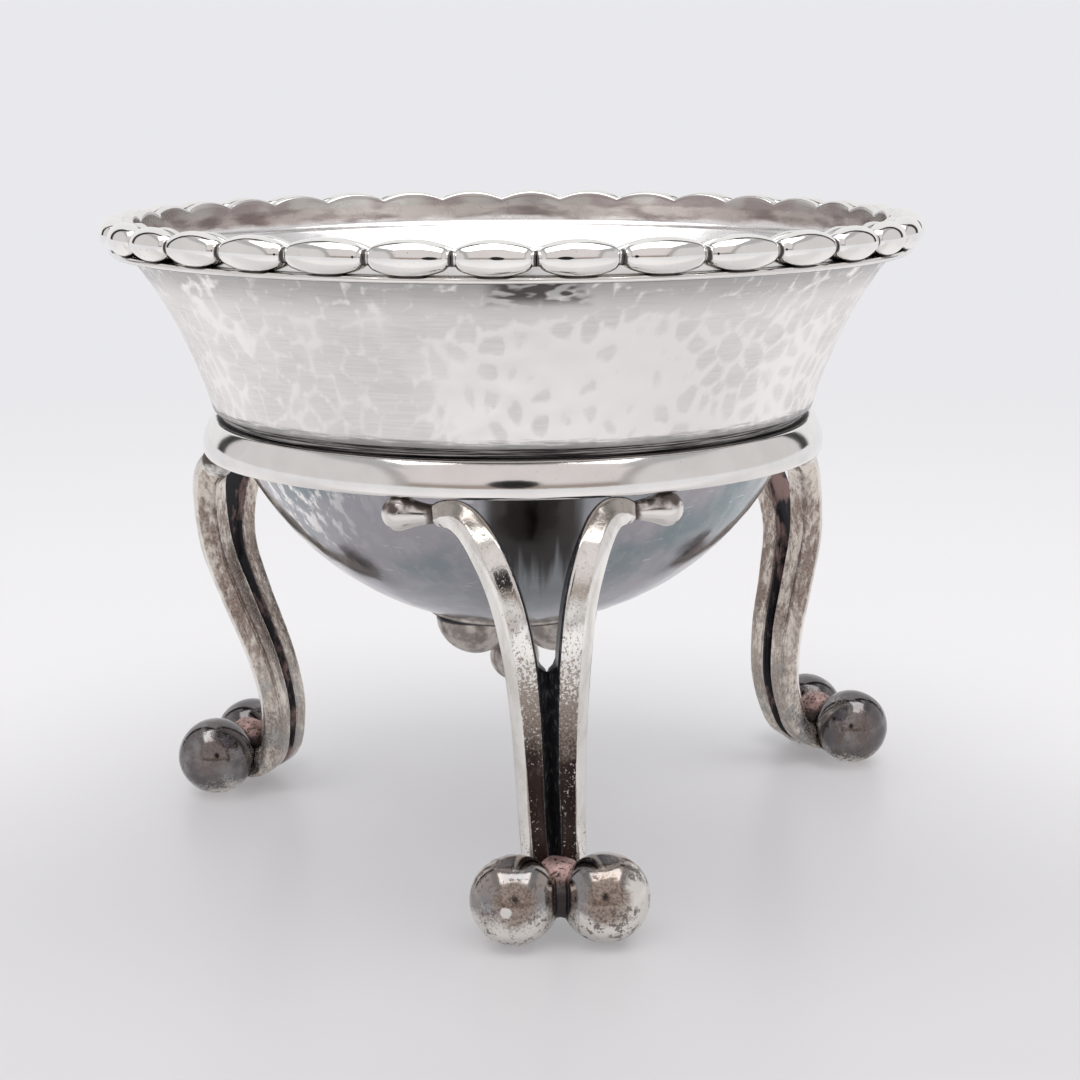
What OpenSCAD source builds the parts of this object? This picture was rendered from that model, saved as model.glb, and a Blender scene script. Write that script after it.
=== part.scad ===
// Silver salt cellar: a round bowl with a flared collar and a rim of oval beads, held at its waist by a
// half-round ring on three S-shaped legs. Each leg is two bars that part below the ring, on two balls.
// The origin is on the table under the bowl's axis, and the front leg points to -Y.

/* [Bowl] */
// Height of the ring's flat underside above the table
ring_z = 33.75; // [30:0.25:38]
// Radius of the bowl's round bottom
bowl_r = 26; // [25.5:0.1:26.5]
// Height of the round bottom's centre above the ring's underside
bowl_centre_h = 10.5; // [10:0.05:11]
// Depth by which the round bottom is flattened at its base
base_flat = 1.25; // [0.8:0.05:1.5]
// Thickness of the bowl's sheet
wall = 0.9; // [0.6:0.05:1.1]
// Height of the collar, from its lower edge to the rim wire
collar_h = 13.3; // [11:0.1:14]
// How far the collar's lower edge stands out from the round bottom
collar_step = 0.97; // [0.9:0.01:1.3]
// Depth of the collar's hollow curve
collar_hollow = 0.73; // [0.5:0.01:0.9]
// How far the collar's upper edge lies inside the lip
lip_step = 0.57; // [0.4:0.01:0.8]

/* [Rim] */
// Width across the beads
rim_d = 70; // [69.5:0.1:71]
// Number of beads
bead_count = 34; // [30:1:34]
// Thickness of a bead in its middle
bead_d = 2.72; // [2.6:0.02:2.9]
// Radius of a bead's round ends
bead_end_r = 1.02; // [0.9:0.02:1.2]
// Thickness of the neck where two beads meet
bead_neck_d = 1.2; // [0.8:0.05:1.5]
// How far the crests of the lip's scallops lie below the tops of the beads
crest_drop = 0.1; // [0.05:0.01:0.2]
// Thickness of the rim wire under the beads
wire_h = 0.5; // [0.3:0.02:0.6]
// Width of the rim wire
wire_w = 1.05; // [0.8:0.05:1.3]

/* [Ring] */
// Height of the ring
ring_h = 2.95; // [2.7:0.05:3.2]
// Width of the ring's flat underside, from the bowl to the outer face
ring_w = 3.07; // [2.8:0.01:3.6]
// Radius of the ring's half-round section
ring_round_r = 3.6; // [3.4:0.05:5]
// Height of the ring's widest line above its underside
ring_belly_h = 0.6; // [0.4:0.05:1]

/* [Legs] */
// Width of one bar
bar_w = 2.6; // [2.2:0.05:2.7]
// Thickness of one bar from front to back
bar_t = 2.6; // [2.2:0.05:2.8]
// Rounding of a bar's edges
bar_edge_r = 0.4; // [0.3:0.05:0.6]
// Width of the bevel along a bar's outer front edge
bar_bevel = 0.85; // [0.5:0.05:1]
// How far the middle of a foot stands out from the ring
foot_out = 5.15; // [4.2:0.05:6.1]
// Distance from the ring's outer face in to the middle of a bar's curled end
leg_inset = 1.55; // [1.35:0.05:1.8]
// Sideways reach of a bar's curled upper end
bar_reach = 7.5; // [7:0.05:7.8]
// Thickness of a foot ball
ball_d = 7; // [6.5:0.05:7.2]
// Depth of the flat worn under each ball
ball_flat = 0.08; // [0.04:0.01:0.2]

/* [Buds] */
// Length of the bud at the end of each bar
drop_l = 4.3; // [3.6:0.05:4.6]
// Thickness of a bud
drop_d = 2.85; // [2.4:0.05:2.95]
// Thickness of a bud where it meets the bar
drop_neck_d = 1.5; // [1.2:0.05:1.7]

/* [Boss] */
// Width of the plate under the bowl
plate_d = 15.4; // [15.3:0.05:15.5]
// Thickness of the plate
plate_h = 0.5; // [0.4:0.05:0.7]
// Radius of the three half balls
lobe_r = 3.55; // [3.2:0.05:3.55]
// Radius of the small ball below them
finial_r = 2.2; // [2:0.05:2.3]
// Distance from the plate down to the small ball's centre
finial_drop = 4.5; // [4.3:0.05:5]
// Thickness of the small ball's peg
peg_d = 0.9; // [0.6:0.05:1]

/* [Hidden] */
$fn = 96;
overrun = 1;

// Heights of the bowl
bowl_centre_z = ring_z + bowl_centre_h;
bowl_base_z = bowl_centre_z - bowl_r + base_flat;
ring_top_z = ring_z + ring_h;
groove_h = 0.75;
groove_depth = 0.6;
collar_z = ring_top_z + groove_h;
wire_z = collar_z + collar_h;
waist_low_h = 0.4;
waist_high_h = 2.6;

// Radii that follow from the round bottom, from the inside out
function ball_at(z, r) = sqrt(r * r - (z - bowl_centre_z) * (z - bowl_centre_z));
ring_r = ball_at(ring_z, bowl_r) + ring_w;
collar_r = ball_at(ring_top_z, bowl_r) + collar_step;
foot_r = ring_r + foot_out;
leg_top_r = ring_r - leg_inset;

// The beads stand on the wire and lean on the lip, each sunk a little into its filed seat
bead_r = bead_d / 2;
bead_seat = 0.06;
bead_ring_r = rim_d / 2 - bead_r;
bead_z = wire_z + wire_h + bead_r - bead_seat;
lip_share = 0.5;
lip_r = bead_ring_r - lip_share * bead_r;
bead_gap = 0.08;
// The lip's scallops rise behind the beads, from the height of their necks
crest_z = bead_z + bead_r - crest_drop;
crest_rise = bead_r - crest_drop - bead_neck_d / 2;
bead_first_angle = -50.4;
bead_pitch = 360 / bead_count;
// Hand fitting moves each joint between two beads by a share of the pitch
joint_shift_shares = [
  0, 0, 0, 0.05, 0.07, 0.03, 0.03, 0.08, 0.1, 0.08, 0.05, 0.02,
  0.04, 0, -0.03, -0.02, -0.05, -0.03, -0.04, -0.05, -0.03, -0.05, -0.07, -0.07,
  -0.05, -0.03, 0.01, -0.02, 0.02, 0.03, 0, -0.02, 0.02, 0.01
];
function joint_angle(i) = bead_first_angle + bead_pitch * (i + joint_shift_shares[i % bead_count]);
function bead_name(i) = str("bead_", i < 10 ? "0" : "", i);

// The collar's hollow curve runs from the waist to just inside the lip, with its centre outside and below it
collar_run = [lip_r - lip_step - collar_r, collar_h];
collar_half = norm(collar_run) / 2;
collar_curve_r = (collar_half * collar_half / collar_hollow + collar_hollow) / 2;
curve_out = (collar_curve_r - collar_hollow) / (2 * collar_half);
curve_x = collar_r + collar_run[0] / 2 + collar_run[1] * curve_out;
curve_z = collar_z + collar_run[1] / 2 - collar_run[0] * curve_out;
function curve_at(z, r) = curve_x - sqrt(r * r - (z - curve_z) * (z - curve_z));

// Legs: the way that each one faces, and how far hand bending has moved its foot, in shares of foot_r
leg_names = ["front", "left", "right"];
leg_turns = [3.35, -112, 120.5];
foot_shift_shares = [[0.05, 0.041], [0.112, -0.092], [0.112, 0.023]];
bend_shares = [0.3, -0.07, -0.32];
side_names = ["left", "right"];
ball_r = ball_d / 2;
ball_z = ball_r - ball_flat;

// Side profile of a bar as [outward, up, apart]. The hook starts between the foot balls: its shares are of
// ball_r, from the middle of the foot, and of bar_reach.
hook_shares = [[-0.35, -0.2, 0.155], [-0.78, -0.28, 0.155], [-1.27, 0.02, 0.155], [-1.49, 0.55, 0.155],
  [-1.6, 1.5, 0.158]];
// The rise is in shares of foot_r, ring_z and bar_reach
rise_shares = [[0.848, 0.385, 0.168], [0.899, 0.534, 0.21], [0.936, 0.667, 0.272], [0.931, 0.79, 0.372],
  [0.899, 0.885, 0.52], [0.834, 0.945, 0.7]];
// The curled end lies under the ring
curl_shares = [0.86, 0.3];
// Rings of points between two of the bar's points, and the share of its length where its face starts to turn
steps = 3;
turn_share = 0.667;
// What is left of the bar's width and thickness at each point
taper_shares = [0.93, 0.93, 0.93, 0.93, 0.94, 0.96, 0.98, 1, 1, 1, 0.96, 0.86, 0.68];
crotch_share = 0.63;

drop_r = drop_d / 2;
drop_seat = 0.05;
tip_z = ring_z - drop_r + drop_seat;
curl_r = leg_top_r + curl_shares[1] * bar_t / 2;
bar_points = concat(
  [for (p = hook_shares) [foot_r + p[0] * ball_r, ball_z + p[1] * ball_r, p[2] * bar_reach]],
  [for (p = rise_shares) [p[0] * foot_r, p[1] * ring_z, p[2] * bar_reach]],
  [[curl_r, tip_z, curl_shares[0] * bar_reach], [leg_top_r, tip_z, bar_reach]]
);
last = len(bar_points) - 1;

// A smooth curve through the bar's points. Its upper end runs level, along the ring.
function end_point(i) =
  i < 0 ? 2 * bar_points[0] - bar_points[1] :
  i > last ? [bar_points[last][0], bar_points[last][1], 2 * bar_points[last][2] - bar_points[last - 1][2]] :
  bar_points[i];
function weave(a, b, c, d, t) =
  0.5 * (2 * b + (c - a) * t + (2 * a - 5 * b + 4 * c - d) * t * t + (3 * b - a - 3 * c + d) * t * t * t);
function bar_at(i, t) = weave(end_point(i - 1), end_point(i), end_point(i + 1), end_point(i + 2), t);
bar_line = concat(
  [for (i = [0 : last - 1]) for (j = [0 : steps - 1]) bar_at(i, j / steps)],
  [bar_points[last]]
);
bar_tapers = concat(
  [for (i = [0 : last - 1]) for (j = [0 : steps - 1])
    taper_shares[i] + (taper_shares[i + 1] - taper_shares[i]) * j / steps],
  [taper_shares[last]]
);
bar_last = len(bar_line) - 1;

// From radius, height and sideways place to the leg's own frame, in which the ring's curve is followed
function swing(p) = asin((p[2] - bar_points[0][2]) / p[0]);
function leg_point(p) = [p[0] * cos(swing(p)), p[2], p[1]];
function unit(v) = v / norm(v);
function run_of(points, i, end) = points[min(i + 1, end)] - points[max(i - 1, 0)];
leg_line = [for (p = bar_line) leg_point(p)];
function heading(i) =
  i == bar_last ?
  [-sin(swing(bar_line[i])), cos(swing(bar_line[i])), 0] :
  unit(run_of(leg_line, i, bar_last));
function face_of(i) =
  let (flat = unit([run_of(bar_line, i, bar_last)[0], run_of(bar_line, i, bar_last)[1]]))
  let (level = max(i / bar_last - turn_share, 0) / (1 - turn_share))
  let (turn = unit([flat[1], -flat[0]] * (1 - level) + [level, 0]))
  let (out = [turn[0] * cos(swing(bar_line[i])), turn[0] * sin(swing(bar_line[i])), turn[1]])
  unit(out - (out * heading(i)) * heading(i));

// Section of a bar: three rounded corners, a bevel that is a little round across, and an inner face that
// meets the other bar up to the fork
corner_angles = [0, 45, 90];
web_inset_share = 0.3;
bevel_round_share = 0.42;
function corner(cx, cz, start, size) = [
  for (a = corner_angles)
    [cx * (bar_w / 2 - bar_edge_r) + bar_edge_r * cos(start + a),
     cz * (bar_t / 2 - bar_edge_r) + bar_edge_r * sin(start + a)] * size
];
function bevel(size) = [
  for (cut = [[0, 1], [bevel_round_share, bevel_round_share], [1, 0]])
    [bar_w / 2 - bar_bevel * cut[0], bar_t / 2 - bar_bevel * cut[1]] * size
];
function section(i) =
  let (size = bar_tapers[i])
  let (web = (bar_t / 2 - bar_edge_r * (1 + web_inset_share)) * size)
  let (face = face_of(i), side = cross(heading(i), face), place = leg_line[i])
  let (joined = bar_line[i][1] < crotch_share * ring_z)
  concat(
    [for (q = concat(corner(1, -1, -90, size), bevel(size), corner(-1, 1, 90, size)))
      place + q[0] * side + q[1] * face],
    [for (h = [web, -web]) joined ?
      [(place + h * face)[0], 0, (place + h * face)[2]] : place + h * face - bar_w / 2 * size * side],
    [for (q = corner(-1, -1, 180, size)) place + q[0] * side + q[1] * face]
  );

// From a leg's own frame to the table's. Hand bending shears a leg more towards its foot.
function place_on(p, leg, side) =
  let (a = leg_turns[leg], low = max(1 - p[2] / ring_z, 0))
  let (shear = foot_r * foot_shift_shares[leg] * low * (1 + bend_shares[leg] * (1 - low)))
  [p[0] * sin(a) + side * p[1] * cos(a) + shear[0], side * p[1] * sin(a) - p[0] * cos(a) + shear[1], p[2]];

// The hook's end is filed to fit the foot ball, and the curled end lies flat under the ring
function seated(p, ball) =
  let (low = [p[0], p[1], min(p[2], ring_z)], away = low - ball)
  norm(away) < ball_r ? ball + away * ball_r / norm(away) : low;

// Half of the bowl's section, filled to the axis: round bottom, waist groove, collar and lip
module bowl_outline() {
  intersection() {
    translate([0, bowl_centre_z]) circle(r = bowl_r);
    translate([0, bowl_base_z]) square([bowl_r, ring_top_z - bowl_base_z]);
  }
  translate([0, ring_top_z]) square([collar_r - groove_depth, groove_h + wall]);
  difference() {
    translate([0, collar_z]) square([curve_at(wire_z, collar_curve_r), collar_h]);
    translate([curve_x, curve_z]) circle(r = collar_curve_r);
  }
  translate([0, wire_z]) square([lip_r, crest_z - wire_z]);
}

module bowl_hollow() {
  low_z = ring_top_z - waist_low_h;
  high_z = collar_z + waist_high_h;
  inner_r = bowl_r - wall;
  curve_r = collar_curve_r + wall;
  intersection() {
    translate([0, bowl_centre_z]) circle(r = inner_r);
    translate([0, bowl_base_z + wall]) square([inner_r, low_z - bowl_base_z - wall]);
  }
  polygon([
    [0, low_z - wall],
    [ball_at(low_z - wall, inner_r) - wall, low_z - wall],
    [ball_at(low_z, inner_r), low_z],
    [curve_at(high_z, curve_r), high_z],
    [curve_at(high_z, curve_r) - wall, high_z + wall],
    [0, high_z + wall]
  ]);
  difference() {
    translate([0, high_z]) square([lip_r - wall, wire_z - high_z]);
    translate([curve_x, curve_z]) circle(r = curve_r);
  }
  translate([0, wire_z - wall]) square([curve_at(wire_z - wall, curve_r), wall]);
  translate([0, wire_z]) square([lip_r - wall, crest_z - wire_z + overrun]);
}

// What is cut from the lip's edge so that it follows the tops of the beads: a band less one arc for each
module scallop_cutter() {
  inner_r = lip_r - wall - overrun;
  difference() {
    translate([0, 0, bead_z]) cylinder(r = lip_r + overrun / 2, h = bead_d);
    translate([0, 0, bead_z - overrun]) cylinder(r = inner_r + overrun / 2, h = bead_d + 2 * overrun);
    for (i = [1 : bead_count]) {
      from = joint_angle(i - 1);
      to = joint_angle(i);
      half = lip_r * sin((to - from) / 2);
      scallop_r = (half * half + crest_rise * crest_rise) / (2 * crest_rise);
      rotate([0, 0, (from + to) / 2]) translate([0, -inner_r, crest_z - scallop_r]) rotate([90, 0, 0])
        cylinder(r = scallop_r, h = lip_r + overrun - inner_r);
    }
  }
}

module bowl() {
  color("gainsboro") difference() {
    rotate_extrude() {
      difference() {
        bowl_outline();
        bowl_hollow();
      }
    }
    scallop_cutter();
  }
}

module rim_wire() {
  color("whitesmoke") rotate_extrude() translate([lip_r, wire_z]) square([wire_w, wire_h]);
}

// Half of a bead's outline: two round ends joined by one long arc that runs on smoothly from both, and a
// neck that stops where the next bead's neck begins
module bead_outline(half) {
  end_x = half - bead_gap - bead_end_r;
  arc_r = (end_x * end_x + bead_r * bead_r - bead_end_r * bead_end_r) / (2 * (bead_r - bead_end_r));
  meet_x = end_x * arc_r / (arc_r - bead_end_r);
  neck_x = half - bead_neck_d / 2 * tan(bead_pitch / 2);
  intersection() {
    union() {
      for (side = [-1, 1]) translate([0, side * end_x]) circle(r = bead_end_r);
      intersection() {
        translate([bead_r - arc_r, 0]) circle(r = arc_r);
        translate([0, -meet_x]) square([bead_r, 2 * meet_x]);
      }
      translate([0, -neck_x]) square([bead_neck_d / 2, 2 * neck_x]);
    }
    translate([0, -half]) square([bead_r, 2 * half]);
  }
}

// One bead between two joints of the ring of beads, filed to sit on the wire and against the lip
module bead(i) {
  from = joint_angle(i - 1);
  to = joint_angle(i);
  spread = (to - from) / 2;
  axis_r = bead_ring_r * (1 + cos(spread)) / 2;
  color("whitesmoke") difference() {
    rotate([0, 0, (from + to) / 2]) translate([0, -axis_r, bead_z]) rotate([0, -90, 0])
      rotate_extrude() bead_outline(axis_r * tan(spread));
    cylinder(r = lip_r, h = bead_z + bead_d);
    cylinder(r = rim_d, h = wire_z + wire_h);
  }
}

// Heavy half-round ring that fits the bowl's round bottom
module support_ring() {
  color("silver") rotate_extrude() {
    difference() {
      intersection() {
        translate([0, ring_z]) square([ring_r, ring_h]);
        union() {
          translate([ring_r - ring_round_r, ring_z + ring_belly_h]) circle(r = ring_round_r);
          translate([0, ring_z]) square([ring_r - ring_round_r, ring_h]);
        }
      }
      translate([0, bowl_centre_z]) circle(r = bowl_r);
    }
  }
}

module foot_ball(leg, side) {
  color("dimgray") difference() {
    translate(place_on([foot_r, ball_r, ball_z], leg, side)) sphere(r = ball_r);
    translate([-rim_d, -rim_d, -ball_d]) cube([2 * rim_d, 2 * rim_d, ball_d]);
  }
}

// One bar of a leg, from its hook between the foot balls to its curled end under the ring
module leg_bar(leg, side) {
  rings = bar_last + 1;
  ball = place_on([foot_r, ball_r, ball_z], leg, side);
  points = [for (i = [0 : bar_last]) for (p = section(i)) seated(place_on(p, leg, side), ball)];
  n = len(section(0));
  walls = [
    for (i = [0 : rings - 2]) for (j = [0 : n - 1]) for (half = [0, 1])
      let (a = i * n + j, b = i * n + (j + 1) % n)
      half == 0 ? [a, b, b + n] : [a, b + n, a + n]
  ];
  ends = [[for (j = [n - 1 : -1 : 0]) j], [for (j = [0 : n - 1]) (rings - 1) * n + j]];
  faces = concat(walls, ends);
  turned = [for (f = faces) [for (j = [len(f) - 1 : -1 : 0]) f[j]]];
  color("silver") polyhedron(points, side > 0 ? faces : turned);
}

// Bud that carries on from the bar's end: a ball with a waist that narrows to the bar
module drop(leg, side) {
  tip = leg_point(bar_points[last]);
  turn = leg_turns[leg] + side * swing(bar_points[last]);
  ball_x = drop_l - drop_r;
  neck_r = drop_neck_d / 2;
  tilt = asin((drop_r - neck_r) / ball_x);
  color("silver") difference() {
    translate(place_on(tip, leg, side)) rotate([0, 0, turn]) rotate([0, side * 90, 0]) rotate_extrude() {
      intersection() {
        union() {
          translate([0, ball_x]) circle(r = drop_r);
          polygon([
            [0, 0], [neck_r, 0], [neck_r + (drop_r - neck_r) / 2, ball_x * neck_r / drop_l],
            [drop_r * cos(tilt), ball_x - drop_r * sin(tilt)], [0, ball_x]
          ]);
        }
        square([drop_r, drop_l]);
      }
    }
    translate([-rim_d, -rim_d, ring_z]) cube([2 * rim_d, 2 * rim_d, ring_h]);
  }
}

// Boss under the bowl: a plate, three half balls that touch, and a small ball on a peg between them
plate_z = bowl_base_z - plate_h;
lobe_out = lobe_r / sin(60);
lobe_turns = [-55, 65, 185];

module boss_plate() {
  color("darkgray") translate([0, 0, plate_z]) cylinder(d = plate_d, h = plate_h);
}

module boss_lobe(i) {
  a = lobe_turns[i - 1];
  color("darkgray") difference() {
    translate([lobe_out * sin(a), -lobe_out * cos(a), plate_z]) sphere(r = lobe_r);
    translate([-plate_d, -plate_d, plate_z]) cube([2 * plate_d, 2 * plate_d, lobe_r + overrun]);
  }
}

module boss_finial() {
  color("gray") union() {
    translate([0, 0, plate_z - finial_drop]) sphere(r = finial_r);
    translate([0, 0, plate_z - finial_drop]) cylinder(d = peg_d, h = finial_drop);
  }
}

bowl();
rim_wire();
for (i = [1 : bead_count]) {
  bead(i);
}
support_ring();
for (leg = [0 : 2]) for (s = [0, 1]) {
  name = str(leg_names[leg], "_leg_", side_names[s]);
  leg_bar(leg, 2 * s - 1);
  drop(leg, 2 * s - 1);
  foot_ball(leg, 2 * s - 1);
}
boss_plate();
for (i = [1 : 3]) {
  boss_lobe(i);
}
boss_finial();
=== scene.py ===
import random
from math import acos, asin, atan, atan2, cos, dist, pi, radians, sin, sqrt

import bmesh
import bpy
import numpy as np
from mathutils import Matrix, Vector, noise
from mathutils.kdtree import KDTree


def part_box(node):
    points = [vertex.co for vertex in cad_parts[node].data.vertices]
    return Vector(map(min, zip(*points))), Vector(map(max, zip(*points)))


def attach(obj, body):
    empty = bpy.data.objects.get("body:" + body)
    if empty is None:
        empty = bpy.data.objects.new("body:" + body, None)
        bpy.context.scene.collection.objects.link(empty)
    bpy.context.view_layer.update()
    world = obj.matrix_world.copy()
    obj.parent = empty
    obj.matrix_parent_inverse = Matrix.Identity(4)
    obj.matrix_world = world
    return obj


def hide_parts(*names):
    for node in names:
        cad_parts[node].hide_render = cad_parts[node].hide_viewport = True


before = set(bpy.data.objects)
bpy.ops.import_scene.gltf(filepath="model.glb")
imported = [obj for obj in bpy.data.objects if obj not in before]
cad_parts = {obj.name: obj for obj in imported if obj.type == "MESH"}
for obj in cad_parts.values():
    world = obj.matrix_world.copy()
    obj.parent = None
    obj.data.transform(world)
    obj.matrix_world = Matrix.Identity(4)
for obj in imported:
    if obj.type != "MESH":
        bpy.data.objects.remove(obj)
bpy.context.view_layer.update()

mm = 0.001
fullTurn = 2 * pi
upAxis = Vector((0, 0, 1))


class Sizes(dict):  # a dictionary whose values are also read as sizes.name
    __getattr__ = dict.__getitem__


# Shader sums written as Python: a socket with the operators that the finishes use
class Socket:
    def __init__(self, finish, link):
        self.finish = finish
        self.link = link

    def sum(self, operation, first, second):
        return self.finish.node("Math", {"operation": operation}, {0: first, 1: second})

    def __add__(self, other):
        return self.sum("ADD", self, other)

    def __sub__(self, other):
        return self.sum("SUBTRACT", self, other)

    def __rsub__(self, other):
        return self.sum("SUBTRACT", other, self)

    def __mul__(self, other):
        return self.sum("MULTIPLY", self, other)

    __radd__ = __add__
    __rmul__ = __mul__

    def largest(self, other):
        return self.sum("MAXIMUM", self, other)

    def span(self):  # its distance from 0
        return self.largest(self * -1)

    def between(self, low, high):  # 0 below low, 1 above high, smooth between
        settings = {"interpolation_type": "SMOOTHSTEP"}
        return self.finish.node("MapRange", settings, {"Value": self, 1: low, 2: high})

    def fading(self, low, high):  # 1 below low, 0 above high
        return 1 - self.between(low, high)

    def part(self, axis):
        return self.finish.node("SeparateXYZ", {}, {0: self}, axis)


# A material or world with its nodes and named tones
class Finish:
    def __init__(self, owner, tones):
        self.owner = owner
        self.tones = tones
        owner.use_nodes = True
        self.tree = owner.node_tree
        self.tree.nodes.clear()

    def node(self, kind, settings, inputs, output=0):
        made = self.tree.nodes.new("ShaderNode" + kind)
        for name, value in settings.items():
            setattr(made, name, value)
        for name, value in inputs.items():
            if isinstance(value, Socket):
                self.tree.links.new(value.link, made.inputs[name])
            else:
                made.inputs[name].default_value = value
        return Socket(self, made.outputs[output])

    # The piece's own coordinates, in millimetres
    def place(self, stretch=(1, 1, 1)):
        here = self.node("TexCoord", {}, {}, "Object")
        scale = tuple(s / mm for s in stretch)
        return self.node("Mapping", {}, {"Vector": here, "Scale": scale})

    # Noise with lumps of that many millimetres
    def cloud(self, size, detail=2, stretch=(1, 1, 1), rough=0.5):
        inputs = {"Vector": self.place(stretch), "Scale": 1 / size, "Detail": detail, "Roughness": rough}
        return self.node("TexNoise", {}, inputs, "Fac")

    def mark(self, name):  # a value that the mesh carries
        return self.node("Attribute", {"attribute_name": name}, {}, "Fac")

    def tone(self, value):
        return value if isinstance(value, Socket) else (*self.tones[value], 1)

    def mix(self, mask, first, second):
        inputs = {0: mask, 6: self.tone(first), 7: self.tone(second)}
        return self.node("Mix", {"data_type": "RGBA"}, inputs, 2)

    def coats(self, base, **masks):  # one tone over the other
        for name, mask in masks.items():
            base = self.mix(mask, base, name)
        return base

    def bump(self, height, depth):  # depth in millimetres
        inputs = {"Height": height, "Distance": depth * mm, "Strength": 1}
        return self.node("Bump", {}, inputs)

    def metal(self, base, rough, metallic, normal):
        inputs = {"Base Color": base, "Roughness": rough, "Metallic": metallic, "Normal": normal}
        self.end(self.node("BsdfPrincipled", {}, inputs))
        return self.owner

    def end(self, shader, kind="OutputMaterial"):
        made = self.tree.nodes.new("ShaderNode" + kind)
        self.tree.links.new(shader.link, made.inputs["Surface"])


def newFinish(name, tones=None):
    return Finish(bpy.data.materials.new(name), tones)


# Finishes. Lengths, heights and sides in them are in millimetres.
oxideAndShade = (0.035, 0.035, 0.04)


# Planished collar: satin ground with cream ridges, a painted highlight, between the hammer marks. In front
# the cream spreads as painted highlight and leaves grey oval spots. Fine lines run round the bowl.
collarTones = {
    "dull": (0.78, 0.75, 0.74), "satin": (0.87, 0.845, 0.82), "line": (0.93, 0.915, 0.89),
    "shade": (0.44, 0.43, 0.43), "cream": (0.96, 0.945, 0.92), "foot": (0.24, 0.235, 0.235),
    "smear": (0.1, 0.085, 0.085),
}


def collarFinish():
    paint = newFinish("planishedSilver", collarTones)
    ridge = paint.mark("ridge")
    place = paint.place()
    height = place.part("Z")
    side = place.part("X")
    ahead = place.part("Y").between(0, -20)
    lines = paint.cloud(0.42, 3, (0.14, 0.14, 2.2), 0.7)
    patches = paint.cloud(5.5, 2, (1, 1, 0.7))
    front = (side - 4).span().fading(3, 13) * ahead
    flank = side.between(6, 12) * 0.5 + (1 - side).between(7, 14) * 0.25
    reach = (front * 1.25 + flank) * height.between(49, 46) + patches.between(0.4, 0.7) * 0.55
    # Painted highlight: the ridges and the lower front turn cream
    worn = ridge * 0.9 + reach * 0.42 + paint.cloud(0.9, 3, (1, 1, 0.5), 0.6) * 0.64
    cream = (worn - lines * 0.22 + paint.cloud(0.5, 3, (1, 1, 0.6)) * 0.16).between(1.04, 1.4)
    # Painted shade: darker under the wire and at the collar's foot by the groove
    shade = (height + lines * 2.2 + patches * 1.5 - 0.7).between(48.8, 52)
    low = (height - lines * 1.5).fading(37.0, 37.6)
    # A dark wavy smear under the wire in front
    spot = ((side - 1.8).span() * 0.32).largest((50.9 - height) * 0.62).fading(0.7, 1.4)
    swirl = paint.cloud(1.6, 2, (0.5, 0.5, 1.4))
    bands = swirl.sum("PINGPONG", swirl * 7, 1)
    smear = spot * ahead * bands.between(0.25, 0.7) * 0.95
    base = paint.mix(patches.between(0.3, 0.7), "dull", "satin")
    base = paint.coats(base, line=lines.between(0.3, 0.7) * 0.6, shade=shade * 0.85, cream=cream,
                       foot=low * 0.75, smear=smear)
    rough = 0.4 - cream * 0.1 + lines * 0.06
    bump = paint.bump(lines + paint.cloud(0.35, 2, (0.4, 0.4, 1)) * 0.6, 0.006)
    return paint.metal(base, rough, 1.0, bump)


# Inside of the bowl: polished, with a brown bloom on the lip behind the beads
insideTones = {
    "polished": (0.97, 0.955, 0.95), "brown": (0.3, 0.25, 0.24), "rose": (0.62, 0.57, 0.54),
    "edge": (0.6, 0.59, 0.56), "edgeBrown": (0.45, 0.4, 0.39),
}


def insideFinish():
    paint = newFinish("insideSilver", insideTones)
    height = paint.place().part("Z")
    blots = paint.cloud(2.4, 4, (0.5, 0.5, 2)).between(0.38, 0.62)
    bloom = paint.mix(blots, "brown", "rose")
    edge = paint.mix(paint.cloud(6, 2).between(0.42, 0.58), "edge", "edgeBrown")
    bloom = paint.mix((height + paint.cloud(1.4, 3) * 0.7).between(52.7, 53.1), bloom, edge)
    ragged = height + paint.cloud(2.2, 4, (0.5, 0.5, 1.5)) * 1.3 - 0.65
    base = paint.mix(ragged.between(51.0, 51.5), "polished", bloom)
    rough = 0.2 + paint.cloud(1.5, 3) * 0.12
    bump = paint.bump(paint.cloud(0.5, 3, (0.3, 0.3, 2), 0.7), 0.004)
    return paint.metal(base, rough, 1.0, bump)


# Round bottom: blue and violet tarnish with paler rubbed streaks, and painted shade, black, behind the front
# leg's fork
underTones = {
    "blue": (0.26, 0.315, 0.335), "violet": (0.41, 0.4, 0.43), "low": (0.5, 0.49, 0.53),
    "rubbed": (0.9, 0.89, 0.88), "scratch": (0.8, 0.8, 0.82), "green": (0.2, 0.235, 0.235),
    "black": (0.05, 0.042, 0.04),
}


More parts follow.
